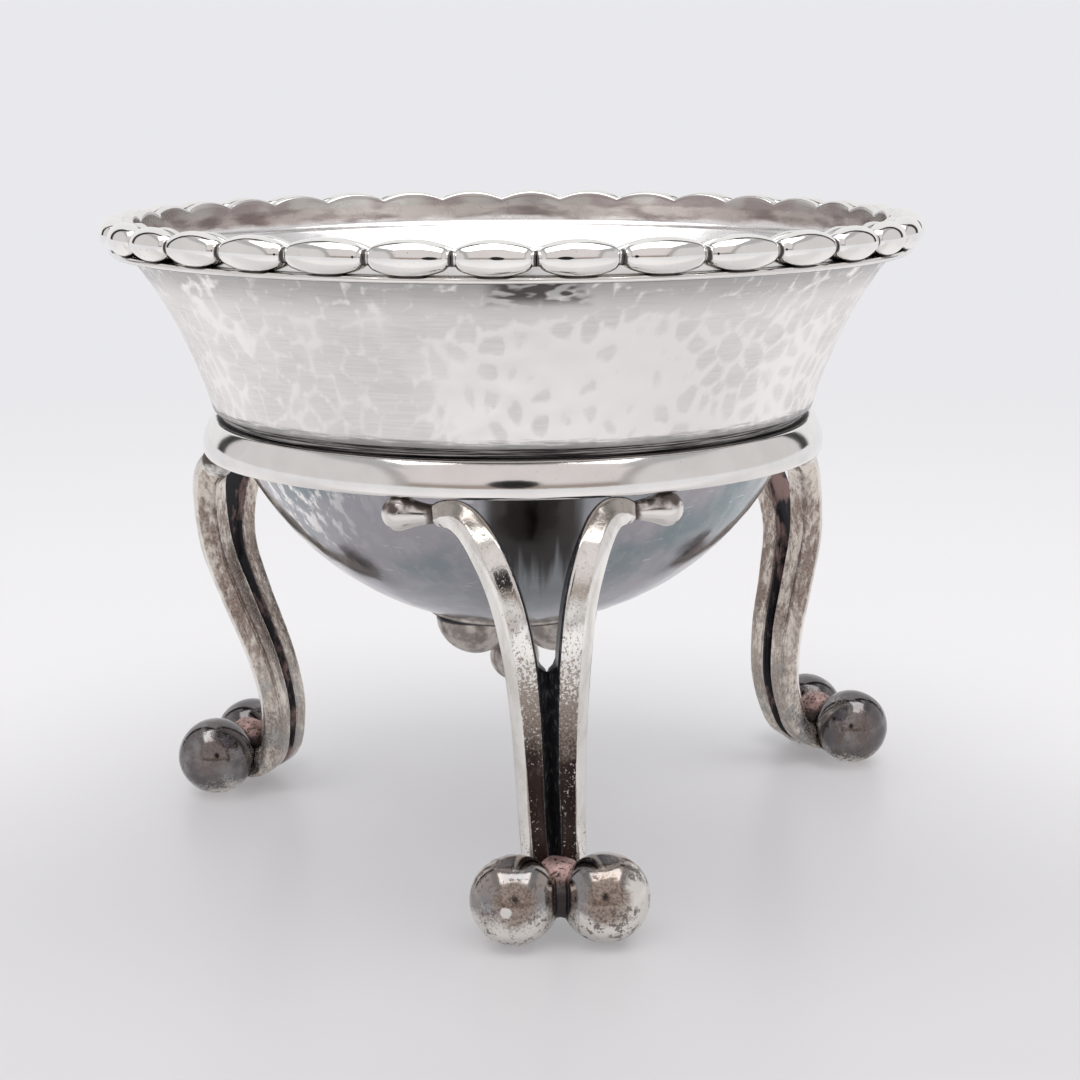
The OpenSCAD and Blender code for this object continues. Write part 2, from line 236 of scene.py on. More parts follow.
def underFinish():
    paint = newFinish("tarnishedSilver", underTones)
    place = paint.place()
    x, y, z = (place.part(axis) for axis in "XYZ")
    ahead = (y * -1).between(2, 6)
    patches = paint.cloud(8, 3)
    streaks = paint.cloud(1.3, 4, (1, 1, 0.35), 0.65)
    side = (x * -1).between(11, 18) + x.between(20, 24) * 0.7
    rubbed = streaks.between(0.48, 0.6) * (side + 0.08)
    scratch = paint.cloud(0.6, 2, (0.25, 0.25, 1.6), 0.6).between(0.66, 0.72)
    off = (x - 1.6).span()
    green = off.fading(2, 6) * ahead * z.between(19, 24)
    # Painted shade behind the front leg's fork, with streaky edges
    shadeStreaks = paint.cloud(0.8, 2, (1.3, 0.06, 0.06), 0.4)
    black = (off + shadeStreaks * 2 - 1).fading(2.6, 4.6) * ahead * (z + shadeStreaks * 9 - 4.5).between(24.5, 28.5)
    base = paint.coats(paint.mix(patches.between(0.38, 0.6), "blue", "violet"), low=z.fading(20, 30) * 0.8,
                       rubbed=rubbed, scratch=scratch * 0.45, green=green * 0.6, black=black * 0.92)
    sheen = paint.cloud(0.5, 3, (0.4, 0.4, 1.6), 0.7)
    return paint.metal(base, 0.11 + sheen * 0.11, 1.0, paint.bump(sheen + streaks * 0.5, 0.004))


# Waist groove: painted shade, black in the recess, with paler lines that the file has left
grooveTones = {"black": (0.035, 0.033, 0.035), "filed": (0.5, 0.48, 0.46)}


def grooveFinish():
    paint = newFinish("grooveShade", grooveTones)
    lines = paint.cloud(0.2, 3, (0.03, 0.03, 2.5), 0.7)
    base = paint.mix(lines.between(0.42, 0.62), "black", "filed")
    return paint.metal(base, 0.35, 0.8, paint.bump(lines, 0.03))


# Burnished silver, dark with grime and painted shade where the mesh's own mark says, and with grime as
# scattered flecks
burnished = {
    "bead": {"name": "beadSilver", "base": (0.95, 0.935, 0.9), "grimeAndShade": (0.1, 0.09, 0.085),
             "rough": 0.06, "flecks": 0.5},
    "wire": {"name": "wireSilver", "base": (0.9, 0.88, 0.85), "grimeAndShade": (0.16, 0.15, 0.145),
             "rough": 0.16, "flecks": 0.3},
    "ring": {"name": "ringSilver", "base": (0.9, 0.88, 0.85), "grimeAndShade": oxideAndShade,
             "rough": 0.09, "flecks": 0.2},
    "bud": {"name": "budSilver", "base": (0.84, 0.81, 0.77), "grimeAndShade": (0.12, 0.095, 0.085),
            "rough": 0.14, "flecks": 1},
}


def burnishedFinish(name, base, grimeAndShade, rough, flecks):
    paint = newFinish(name, {"base": base, "veil": [c * 0.93 for c in base], "grimeAndShade": grimeAndShade})
    ragged = (paint.mark("oxideAndShade") + paint.cloud(0.5, 3) * 0.5 - 0.25).between(0.3, 0.7)
    veil = paint.mix(paint.cloud(3, 3).between(0.3, 0.7), "base", "veil")
    fleck = paint.cloud(0.22, 2).between(0.66, 0.72) * paint.cloud(2.5, 2).between(0.5, 0.7) * flecks
    tone = paint.mix(ragged.largest(fleck), veil, "grimeAndShade")
    shine = rough + ragged * 0.25 + paint.cloud(0.9, 3) * 0.04
    bump = paint.bump(paint.cloud(0.4, 3, (0.4, 0.4, 1.4), 0.6), 0.0025)
    return paint.metal(tone, shine, 1 - ragged * 0.5, bump)


# Legs: cream silver with a bright bevel. Brown speckle thickens downwards on the front faces, and black
# oxide lies between the bars.
legTones = {
    "cream": (0.94, 0.92, 0.88), "creamWorn": (0.82, 0.79, 0.74), "speckle": (0.34, 0.28, 0.24),
    "speckleDark": (0.12, 0.095, 0.08), "speckleHigh": (0.42, 0.355, 0.305),
    "burnt": (0.055, 0.04, 0.036), "smudge": (0.2, 0.17, 0.15), "neck": (0.3, 0.25, 0.21),
    "aged": (0.72, 0.66, 0.59), "agedBrown": (0.36, 0.29, 0.25), "agedDark": (0.22, 0.17, 0.145),
    "slate": (0.2, 0.22, 0.23), "shine": (0.84, 0.8, 0.73), "rim": (0.22, 0.19, 0.17),
    "wash": (0.36, 0.25, 0.23), "rubbed": (0.3, 0.3, 0.3), "oxideAndShade": oxideAndShade,
}


def legFinish():
    paint = newFinish("legSilver", legTones)
    height = paint.place().part("Z")
    inner, front, bevel, back = (paint.mark(name) for name in ("inner", "front", "bevel", "backLeg"))
    grains = paint.cloud(0.21, 4, (1, 1, 0.8), 0.7)
    patches = paint.cloud(2, 4, (1, 1, 0.45), 0.6)
    cream = paint.mix(patches.between(0.4, 0.6), "cream", "creamWorn")
    brown = paint.mix(grains.between(0.42, 0.62), "speckle", "speckleDark")
    brown = paint.mix(height.between(14, 21) * front, brown, "speckleHigh")
    burnt = (height + patches * 7 - 3.5).fading(12.5, 15) * front
    brown = paint.mix(burnt, brown, "burnt")
    drift = front * height.fading(13, 28) * 0.27 + (1 - front) * height.fading(5, 11) * 0.07
    speckle = (grains + drift + patches * 0.16 - 0.1 - bevel * 0.07).between(0.57, 0.65)
    speckle = speckle.largest(burnt * (grains + patches - 0.5).between(0.3, 0.42))
    smudge = (height - 24.9).span().fading(0.2, 1.7) * front * patches.between(0.38, 0.5)
    # The neck tone is painted shade on the front faces just under the ring
    base = paint.coats(paint.mix(speckle, cream, brown), smudge=smudge * 0.4 * (1 - back),
                       neck=height.between(30.4, 32.6) * front * 0.7)
    # The back legs are mottled all over, slate grey low down, with shining edges there
    streaks = paint.cloud(0.5, 4, (1, 1, 0.5), 0.7)
    # Painted highlight: less mottle, so paler, near the top of the back legs
    high = height.between(24, 31) * 0.11
    mottle = (patches * 0.5 + streaks * 0.5 + (1 - bevel) * 0.03 - high).between(0.42, 0.58)
    brown = paint.mix(grains.between(0.4, 0.6), "agedBrown", "agedDark")
    slate = height.fading(8, 14) * paint.cloud(3, 2).between(0.5, 0.58)
    shine = height.fading(10, 16) * (front.largest(bevel) * 0.7 + 0.3) * patches.between(0.34, 0.48)
    aged = paint.coats(paint.mix(mottle, "aged", brown), slate=slate * 0.7, shine=shine * 0.85)
    base = paint.mix(back * (1 - bevel * 0.5), base, aged)
    rim = (1 - front.largest(bevel)) * (1 - back) * height.fading(20, 30) * 0.65
    base = paint.mix(rim, base, "rim")
    # The oxide between the bars is rubbed in streaks on the front leg
    black = (inner + grains * 0.4 - 0.2).between(0.35, 0.6)
    wash = paint.mix(back * patches.between(0.5, 0.62), "oxideAndShade", "wash")
    rubbed = paint.cloud(0.2, 3, (1, 1, 0.09), 0.6).between(0.52, 0.66) * (1 - back) * 0.7
    wash = paint.mix(rubbed, wash, "rubbed")
    base = paint.mix(black, base, wash)
    rough = 0.12 + speckle * 0.16 + black * 0.2 + back * 0.04
    return paint.metal(base, rough, 1 - black * 0.35, paint.bump(speckle * -1 + grains * 0.6, 0.014))


# Foot balls: brown-grey tarnish, worn to cream silver below, with scabs of brown and one pale spot
footTones = {
    "grey": (0.31, 0.3, 0.3), "brown": (0.4, 0.35, 0.32), "behind": (0.15, 0.14, 0.145),
    "worn": (0.86, 0.83, 0.78), "stain": (0.4, 0.33, 0.28), "stainDark": (0.2, 0.145, 0.12),
    "scab": (0.2, 0.165, 0.15), "bare": (0.8, 0.78, 0.75), "oxideAndShade": oxideAndShade,
}


def footFinish():
    paint = newFinish("footSilver", footTones)
    place = paint.place()
    back = place.part("Y").between(-20, -10)
    right = place.part("X").between(6.5, 9.5)
    grain = paint.cloud(0.22, 4, (1, 1, 1), 0.7)
    patches = paint.cloud(2.3, 3)
    lift = place.part("Z") + patches * 3.2 - 1.6 + (grain - 0.5) * 3.4 + back * 1.7 - right * 4 * (1 - back)
    worn = lift.fading(1.9, 3.6)
    dark = paint.mix(patches.between(0.38, 0.62), "grey", "brown")
    dark = paint.mix(back * patches.between(0.25, 0.55), dark, "behind")
    base = paint.mix(worn, dark, "worn")
    stain = (paint.mark("stain") + grain * 0.8 + patches * 0.9 - 0.85).between(0.15, 0.95)
    stain = stain * (1 - back * 0.65)
    brown = paint.mix(grain.between(0.45, 0.6), "stain", "stainDark")
    base = paint.mix(stain * 0.85, base, brown)
    scab = (paint.cloud(0.5, 4, (1, 1, 1), 0.7) + right * 0.07).between(0.56, 0.59)
    scab = scab * paint.cloud(1.8, 3).between(0.46, 0.55)
    base = paint.mix(scab * 0.85, base, "scab")
    # The pale spot is on the front of one ball
    low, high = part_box("front_leg_left_ball")
    radius = (high.x - low.x) / 2
    bare = (low + high) / 2 + Vector((-0.195, -0.978, 0.063)) * radius
    reach = paint.node("VectorMath", {"operation": "DISTANCE"}, {0: place, 1: bare / mm}, "Value")
    base = paint.mix((reach + grain * 0.25).fading(0.5, 0.62), base, "bare")
    joint = paint.mark("oxideAndShade").between(0.2, 0.6)
    base = paint.mix(joint, base, "oxideAndShade")
    rough = 0.1 + scab * 0.25 + worn * 0.1 + joint * 0.2 + stain * 0.08
    return paint.metal(base, rough, 1 - joint * 0.4, paint.bump(grain * 0.5 - scab, 0.01))


# Solder and the copper-pink bloom that the torch leaves
solderTones = {"bloom": (0.5, 0.34, 0.315), "black": (0.06, 0.05, 0.05)}


def solderFinish():
    paint = newFinish("solderBloom", solderTones)
    grain = paint.cloud(0.3, 4, (1, 1, 1), 0.65)
    low = (paint.place().part("Z") + grain * 2 - 1).fading(4.6, 5.2)
    base = paint.mix(grain.between(0.54, 0.62).largest(low), "bloom", "black")
    return paint.metal(base, 0.38 + grain * 0.2, 0.8, paint.bump(grain, 0.03))


bossTones = {"worn": (0.64, 0.59, 0.54), "brown": (0.31, 0.28, 0.26), "oxideAndShade": oxideAndShade}


def bossFinish():
    paint = newFinish("bossSilver", bossTones)
    patches = paint.cloud(1.6, 4, (1, 1, 1), 0.65)
    base = paint.mix(patches.between(0.38, 0.62), "worn", "brown")
    joint = paint.mark("oxideAndShade").between(0.4, 0.9)
    base = paint.mix(joint, base, "oxideAndShade")
    return paint.metal(base, 0.24 + patches * 0.15, 1 - joint * 0.4, paint.bump(patches, 0.012))


finishes = {
    "collar": collarFinish(),
    "inside": insideFinish(),
    "under": underFinish(),
    "groove": grooveFinish(),
    "leg": legFinish(),
    "foot": footFinish(),
    "solder": solderFinish(),
    "boss": bossFinish(),
}
for kind, look in burnished.items():
    finishes[kind] = burnishedFinish(**look)
print("finishes made:", len(finishes))


# Makes the object of a finished bmesh
def addObject(name, bm, materials):
    mesh = bpy.data.meshes.new(name)
    bm.to_mesh(mesh)
    bm.free()
    for material in materials:
        mesh.materials.append(material)
    made = bpy.data.objects.new(name, mesh)
    bpy.context.scene.collection.objects.link(made)
    return made


# Adds one piece of the part and lets it ride on its body
def addPiece(name, bm, looks, nodes=()):
    piece = addObject(name, bm, [finishes[look] for look in looks])
    piece.data.shade_smooth()
    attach(piece, "root")
    if nodes:
        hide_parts(*nodes)
    return piece


# Turns an outline of (radius, height) points round the Z axis
def turned(outline, steps):
    bm = bmesh.new()
    layer = bm.verts.layers.float.new("along")
    verts = [bm.verts.new((r, 0, z)) for r, z in outline]
    for i, vert in enumerate(verts):
        vert[layer] = i
    edges = [bm.edges.new(pair) for pair in zip(verts, verts[1:])]
    bmesh.ops.spin(bm, geom=verts + edges, cent=(0, 0, 0), axis=upAxis, angle=fullTurn, steps=steps,
                   use_merge=True)
    bmesh.ops.remove_doubles(bm, verts=bm.verts, dist=0.001 * mm)
    bmesh.ops.recalc_face_normals(bm, faces=bm.faces)
    return bm


# Turns a thing's own axis towards a direction
def towards(direction, axis="Z"):
    return direction.to_track_quat(axis, "Y").to_matrix().to_4x4()


def sphere(radius, centre):
    bm = bmesh.new()
    bmesh.ops.create_icosphere(bm, subdivisions=5, radius=radius)
    bmesh.ops.translate(bm, verts=bm.verts, vec=centre)
    return bm


# Points from one angle to another, measured from the outward direction in radians
def arcPoints(centre, radius, start, end, count):
    turns = [start + (end - start) * i / count for i in range(count + 1)]
    return [(centre[0] + radius * cos(t), centre[1] + radius * sin(t)) for t in turns]


# Walks along straight stretches and drops a point every row
def evenly(points, row):
    kept = [points[0]]
    for a, b in zip(points, points[1:]):
        count = max(1, round(dist(a, b) / row))
        for i in range(1, count + 1):
            kept.append((a[0] + (b[0] - a[0]) * i / count, a[1] + (b[1] - a[1]) * i / count))
    return kept


def setMark(piece, name, values):
    attribute = piece.data.attributes.get(name) or piece.data.attributes.new(name, "FLOAT", "POINT")
    attribute.data.foreach_set("value", np.asarray(values, np.float32))


def readValues(items, name, width=1):
    values = np.zeros(len(items) * width)
    items.foreach_get(name, values)
    return values.reshape(-1, width) if width > 1 else values


def getMark(piece, name):
    return readValues(piece.data.attributes[name].data, "value")


def meshPoints(piece):
    return readValues(piece.data.vertices, "co", 3)


def meshNormals(piece):
    return readValues(piece.data.vertex_normals, "vector", 3)


def setPoints(piece, points):
    piece.data.vertices.foreach_set("co", points.ravel())
    piece.data.update()


def smoothStep(values, low, high):
    share = np.clip((values - low) / (high - low), 0, 1)
    return share * share * (3 - 2 * share)


def waver(points, size, seed):  # slow hand-made unevenness, from -1 to 1
    shift = Vector((seed, 2 * seed, 3 * seed))
    return np.array([noise.noise(Vector(p) / size + shift) for p in points])


# A piece's points, pushed along their normals by that unevenness and sunk evenly
def unevenPoints(piece, size, seed, depth, sink=0):
    push = waver(meshPoints(piece), size, seed) * depth - sink
    return meshPoints(piece) + meshNormals(piece) * push[:, None]


def nodePoints(name):
    return np.array([v.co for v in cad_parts[name].data.vertices])


# Bowl
bowlSizes = Sizes(
    ballRadius=26 * mm, centreAboveRing=10.5 * mm, wall=0.9 * mm, grooveHeight=0.75 * mm,
    grooveDepth=0.6 * mm, collarStep=0.97 * mm, collarHollow=0.73 * mm, corner=0.1 * mm,
    lipStep=0.57 * mm, lipEdge=0.18 * mm, lipCrown=0.02 * mm, bendBelow=0.4 * mm,
    bendAbove=2.6 * mm, steps=408, row=0.36 * mm, floorRow=0.75 * mm,
    scallopRise=0.66 * mm, scallopFrom=0.3 * mm, hammerSeed=12,
)
bowlLooks = {"collar": "collar", "under": "under", "groove": "groove", "lip": "wire", "inside": "inside"}
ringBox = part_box("support_ring")
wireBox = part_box("rim_wire")
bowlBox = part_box("bowl")
lipRadius = bowlBox[1].x
lipTop = bowlBox[1].z
wireLow = wireBox[0].z
ringLow = ringBox[0].z
ringTop = ringBox[1].z


# The bowl's outline in five stretches, from the bottom outside to the bottom inside
def bowlOutline(sizes):
    ball, wall, row, floorRow = (sizes[k] for k in ("ballRadius", "wall", "row", "floorRow"))
    corner, edge, bend = (sizes[k] for k in ("corner", "lipEdge", "bendBelow"))
    base = bowlBox[0].z
    centre = ringLow + sizes.centreAboveRing

    def radiusAt(z, r):
        return sqrt(r * r - (z - centre) ** 2)

    collarRadius = radiusAt(ringTop, ball) + sizes.collarStep
    collarLow = ringTop + sizes.grooveHeight
    waist = collarRadius - sizes.grooveDepth
    # The collar's hollow curve through its two ends
    low = Vector((collarRadius, collarLow))
    high = Vector((lipRadius - sizes.lipStep, wireLow))
    half = (high - low).length / 2
    hollow = sizes.collarHollow
    curve = (half * half / hollow + hollow) / 2
    outward = Vector((high.y - low.y, low.x - high.x)).normalized()
    middle = (low + high) / 2 + outward * (curve - hollow)

    def turnTo(p):
        return atan2(p[1] - middle.y, p[0] - middle.x) % fullTurn

    def ballArc(radius, zFrom, zTo):
        start = -acos(radiusAt(zFrom, radius) / radius)
        end = -acos(radiusAt(zTo, radius) / radius)
        count = max(2, round(radius * abs(end - start) / floorRow))
        return arcPoints((0, centre), radius, start, end, count)

    def collarArc(radius, a, b):
        return arcPoints(middle, radius, turnTo(a), turnTo(b), max(2, round(half * 2 / row)))

    under = evenly([(0, base), (radiusAt(base, ball), base)], floorRow) + ballArc(ball, base, ringTop)[1:]
    groove = evenly([(waist, ringTop), (waist, collarLow), (collarRadius - corner, collarLow)], row / 2)
    collar = [(collarRadius, collarLow + corner)] + collarArc(curve, low, high)[1:]
    lip = evenly([(lipRadius, wireLow + edge), (lipRadius, lipTop - edge)], row)
    lip += [(lipRadius - edge, lipTop), (lipRadius - wall / 2, lipTop + sizes.lipCrown),
            (lipRadius - wall + edge, lipTop)]
    inside = evenly([(lipRadius - wall, lipTop - edge), (lipRadius - wall, wireLow + corner)], row)
    innerHigh = (high.x - wall, wireLow - bend)
    innerLow = (collarRadius - wall, collarLow + sizes.bendAbove)
    inside += collarArc(curve + wall, innerHigh, innerLow)
    waistIn = (radiusAt(ringTop - bend, ball - wall), ringTop - bend)
    inside += evenly([inside[-1], waistIn], row)[1:-1]
    inside += ballArc(ball - wall, ringTop - bend, base + wall)
    inside += evenly([inside[-1], (0, base + wall)], floorRow)[1:]
    return {"under": under, "groove": groove, "collar": collar, "lip": lip, "inside": inside}


# Beads
beadCount = 34
beadSizes = Sizes(
    radius=1.36 * mm, endRadius=1.02 * mm, neckRadius=0.6 * mm, pinch=0.92,
    pinchAt=0.04 * mm, gap=0.05 * mm, wave=2.2 * mm, waveDepth=0.022 * mm, steps=44,
    rows=30,
)


def beadOutline(half, sizes):
    radius, end, neck, rows = (sizes[k] for k in ("radius", "endRadius", "neckRadius", "rows"))
    endX = half - sizes.gap - end
    arc = (endX ** 2 + radius ** 2 - end ** 2) / (2 * (radius - end))
    meetX = endX * arc / (arc - end)
    tip = endX + sqrt(end ** 2 - neck ** 2)
    pinch, pinchAt = neck * sizes.pinch, half - sizes.pinchAt
    points = [(0, -half), (neck, -half), (pinch, -pinchAt)]
    for i in range(rows + 1):
        x = tip * sin(pi / 2 * (2 * i / rows - 1))
        if abs(x) < meetX:
            r = radius - arc + sqrt(arc ** 2 - x ** 2)
        else:
            r = sqrt(max(end ** 2 - (abs(x) - endX) ** 2, neck ** 2))
        points.append((r, x))
    return points + [(pinch, pinchAt), (neck, half), (0, half)]


# Where each bead sits: its direction from the axis, half its length and its distance from the axis
def measureBead(number):
    points = nodePoints("bead_%02d" % number)[:, :2]
    low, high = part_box("bead_%02d" % number)
    middle = (low + high) / 2
    turn = atan2(middle.y, middle.x)
    for _ in range(3):
        reach = points @ np.array([-sin(turn), cos(turn)])
        outward = (points @ np.array([cos(turn), sin(turn)])).max() - beadSizes.radius
        turn += atan((reach.min() + reach.max()) / 2 / outward)
    return turn % fullTurn, (reach.max() - reach.min()) / 2 + beadSizes.gap, outward


beadPlaces = [measureBead(number) for number in range(1, beadCount + 1)]
jointTurns = sorted((turn + atan(half / outward)) % fullTurn for turn, half, outward in beadPlaces)


# Hammer marks: each blow leaves a shallow cup, and the cups meet in ridges
blows = {
    "collar": Sizes(width=1.85 * mm, height=2.6 * mm, depth=0.03 * mm, tilt=0.03),
    "under": Sizes(width=2.4 * mm, height=2.4 * mm, depth=0.02 * mm, tilt=0.012),
    "inside": Sizes(width=3.0 * mm, height=3.0 * mm, depth=0.018 * mm, tilt=0.012),
}
# How far the blows stray, how their depths and cups vary, and how the marks fade at a stretch's ends
blowShape = Sizes(strayTurn=0.45, strayHeight=0.5, depths=(0.5, 1.4), rim=0.6, farthest=1.3, ridge=1.6,
                  fadeLow=1.5 * mm, fadeHigh=1.2 * mm)


# Depths and ridges at points of a turned surface, given by radius, length along the outline and turn
def hammered(radii, alongs, turns, marks, dice):
    low, high = alongs.min(), alongs.max()
    rows = max(1, round((high - low) / marks.height))
    order = np.argsort(alongs)
    stray, strayHeight = blowShape.strayTurn, blowShape.strayHeight
    spots = []
    seeds = []
    for row in range(rows + 1):
        level = low + (high - low) * row / rows
        radius = max(np.interp(level, alongs[order], radii[order]), 0.5 * mm)
        count = max(3, round(fullTurn * radius / marks.width))
        for i in range(count):
            turn = fullTurn * (i + 0.5 * (row % 2) + dice.uniform(-stray, stray)) / count
            s = level + dice.uniform(-strayHeight, strayHeight) * marks.height
            seeds.append((dice.uniform(*blowShape.depths), dice.uniform(-1, 1), dice.uniform(-1, 1)))
            r = np.interp(s, alongs[order], radii[order])
            spots.append((r * cos(turn), r * sin(turn), s))
    squeeze = marks.width / marks.height
    tree = KDTree(len(spots))
    for i, (x, y, s) in enumerate(spots):
        tree.insert((x, y, s * squeeze), i)
    tree.balance()
    offsets = np.zeros(len(radii))
    ridges = np.zeros(len(radii))
    half = marks.width / 2
    for k, (radius, turn, s) in enumerate(zip(radii, turns, alongs)):
        x, y = radius * cos(turn), radius * sin(turn)
        (_, i, first), (_, _, second) = tree.find_n((x, y, s * squeeze), 2)
        sx, sy, sz = spots[i]
        deep, tiltAcross, tiltUp = seeds[i]
        across = (y - sy) * cos(turn) - (x - sx) * sin(turn)
        share = min(first / half, blowShape.farthest)
        tilt = marks.tilt * (tiltAcross * across + tiltUp * (s - sz) * squeeze)
        offsets[k] = marks.depth * deep * (share * share - blowShape.rim)
        offsets[k] += tilt * (1 - min(share, 1) ** 2)
        ridges[k] = 1 - min((second - first) / (blowShape.ridge * half), 1)
    return offsets, ridges


# Turns the bowl's columns so that every few of them meet a joint of the rim, and bends the lip's edge up
# behind each bead
def scallop(piece, sizes):
    rise = sizes.scallopRise
    points = meshPoints(piece)
    radii = np.hypot(points[:, 0], points[:, 1])
    turns = np.arctan2(points[:, 1], points[:, 0]) % fullTurn
    even = np.arange(beadCount + 1) * fullTurn / beadCount
    joints = np.array(jointTurns + [jointTurns[0] + fullTurn])
    turns = np.interp(turns, even, joints)
    points[:, 0] = radii * np.cos(turns)
    points[:, 1] = radii * np.sin(turns)
    top = np.full(len(points), lipTop)
    slack = 1e-9
    for start, end in zip(joints, joints[1:]):
        half = radii * sin((end - start) / 2)
        arc = (half ** 2 + rise ** 2) / (2 * rise)
        here = (turns >= start - slack) & (turns <= end + slack)
        across = np.minimum(np.abs(radii * np.sin(turns - (start + end) / 2)), half)
        top[here] = (lipTop - arc + np.sqrt(arc ** 2 - across ** 2))[here]
    low = wireLow + sizes.scallopFrom
    above = np.clip((points[:, 2] - low) / (lipTop - low), 0, 1)
    points[:, 2] -= above * (lipTop - top)
    setPoints(piece, points)


# Hammers the bowl. kinds has the stretch of each row of the outline.
def hammerBowl(piece, outline, kinds, seed):
    points = meshPoints(piece)
    normals = meshNormals(piece)
    rows = getMark(piece, "along").astype(int)
    lengths = np.cumsum([0] + [dist(a, b) for a, b in zip(outline, outline[1:])])
    radii = np.hypot(points[:, 0], points[:, 1])
    turns = np.arctan2(points[:, 1], points[:, 0])
    alongs = lengths[rows]
    kindOf = np.array(kinds)[rows]
    ridge = np.zeros(len(points))
    dice = random.Random(seed)
    for kind, marks in blows.items():
        chosen = np.where(kindOf == kind)[0]
        run = alongs[chosen]
        offsets, ridge[chosen] = hammered(radii[chosen], run, turns[chosen], marks, dice)
        fade = smoothStep(run - run.min(), 0, blowShape.fadeLow)
        fade *= smoothStep(run.max() - run, 0, blowShape.fadeHigh)
        points[chosen] += normals[chosen] * (offsets * fade)[:, None]
    setPoints(piece, points)
    setMark(piece, "ridge", ridge)


def makeBowl(sizes):
    stretches = bowlOutline(sizes)
    outline = sum(stretches.values(), [])
    kinds = [kind for kind, points in stretches.items() for _ in points]
    bm = turned(outline, sizes.steps)
    layer = bm.verts.layers.float["along"]
    slots = list(bowlLooks)
    for face in bm.faces:
        # Half way between two rows the lower one counts
        row = round(sum(v[layer] for v in face.verts) / len(face.verts) - 0.01)
        face.material_index = slots.index(kinds[row])
    piece = addPiece("bowl_shell", bm, bowlLooks.values(), ["bowl"])
    scallop(piece, sizes)
    hammerBowl(piece, outline, kinds, sizes.hammerSeed)
    # The lip's finish reads this mark, and the lip is clean
    setMark(piece, "oxideAndShade", np.zeros(len(piece.data.vertices)))


makeBowl(bowlSizes)
print("bowl made")


# Rim wire with a rounded outer edge, with painted shade on top by the lip under the beads, and dark below
wireSizes = Sizes(overlap=0.2 * mm, bright=0.3 * mm, noseRows=8, steps=360)


def makeWire(sizes):
    low, high = wireBox
    inner, outer = lipRadius - sizes.overlap, high.x
    half = (high.z - low.z) / 2
    middle = (low.z + high.z) / 2
    nose = arcPoints((outer - half, middle), half, -pi / 2, pi / 2, sizes.noseRows)
    outline = [(inner, low.z)] + nose + [(inner, high.z), (inner, low.z)]
    bm = turned(outline, sizes.steps)
    piece = addPiece("rim_band", bm, ["wire"], ["rim_wire"])
    points = meshPoints(piece)
    radii = np.hypot(points[:, 0], points[:, 1])
    shade = smoothStep(points[:, 2], high.z - 0.06 * mm, high.z - 0.01 * mm)
    shade *= 1 - smoothStep(radii, lipRadius, outer - sizes.bright)
    under = 1 - smoothStep(points[:, 2], low.z, low.z + 0.12 * mm)
    setMark(piece, "oxideAndShade", np.maximum(shade, under * 0.9))


def makeBead(number, sizes):
    name = "bead_%02d" % number
    low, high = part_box(name)
    turn, half, radial = beadPlaces[number - 1]
    bm = turned(beadOutline(half, sizes), sizes.steps)
    radius = sizes.radius
    place = Matrix.Rotation(turn - pi / 2, 4, "Z") @ Matrix.Translation((0, radial, high.z - radius))
    bmesh.ops.transform(bm, matrix=place @ Matrix.Rotation(pi / 2, 4, "Y"), verts=bm.verts)
    piece = addPiece(name + "_polished", bm, ["bead"], [name])
    along = np.abs(meshPoints(piece)[:, :2] @ np.array([-sin(turn), cos(turn)])) / half
    points = unevenPoints(piece, sizes.wave, number, sizes.waveDepth)
    # The back of the bead is filed to the lip
    radii = np.hypot(points[:, 0], points[:, 1])
    points[:, :2] *= (np.maximum(radii, lipRadius - sizes.gap) / radii)[:, None]
    setPoints(piece, points)
    # Oxide at the ends and along the wire, and painted shade in the lower corners by the ends
    ends = smoothStep(along, 0.93, 1.0)
    below = 1 - smoothStep(points[:, 2], low.z + 0.02 * mm, low.z + 0.2 * mm)
    corner = 1 - smoothStep(points[:, 2], low.z + 0.5 * mm, low.z + 1.7 * mm)
    corner *= smoothStep(along, 0.84, 0.97)
    setMark(piece, "oxideAndShade", np.maximum(np.maximum(ends, below), corner * 0.8))


makeWire(wireSizes)
for number in range(1, beadCount + 1):
    makeBead(number, beadSizes)
print("rim made")


# Support ring
ringSizes = Sizes(
    roundRadius=3.6 * mm, bellyHeight=0.6 * mm, edge=0.25 * mm, overlap=0.05 * mm,
    faceRows=40, wave=7 * mm, waveDepth=0.02 * mm, seed=5, steps=420,
)


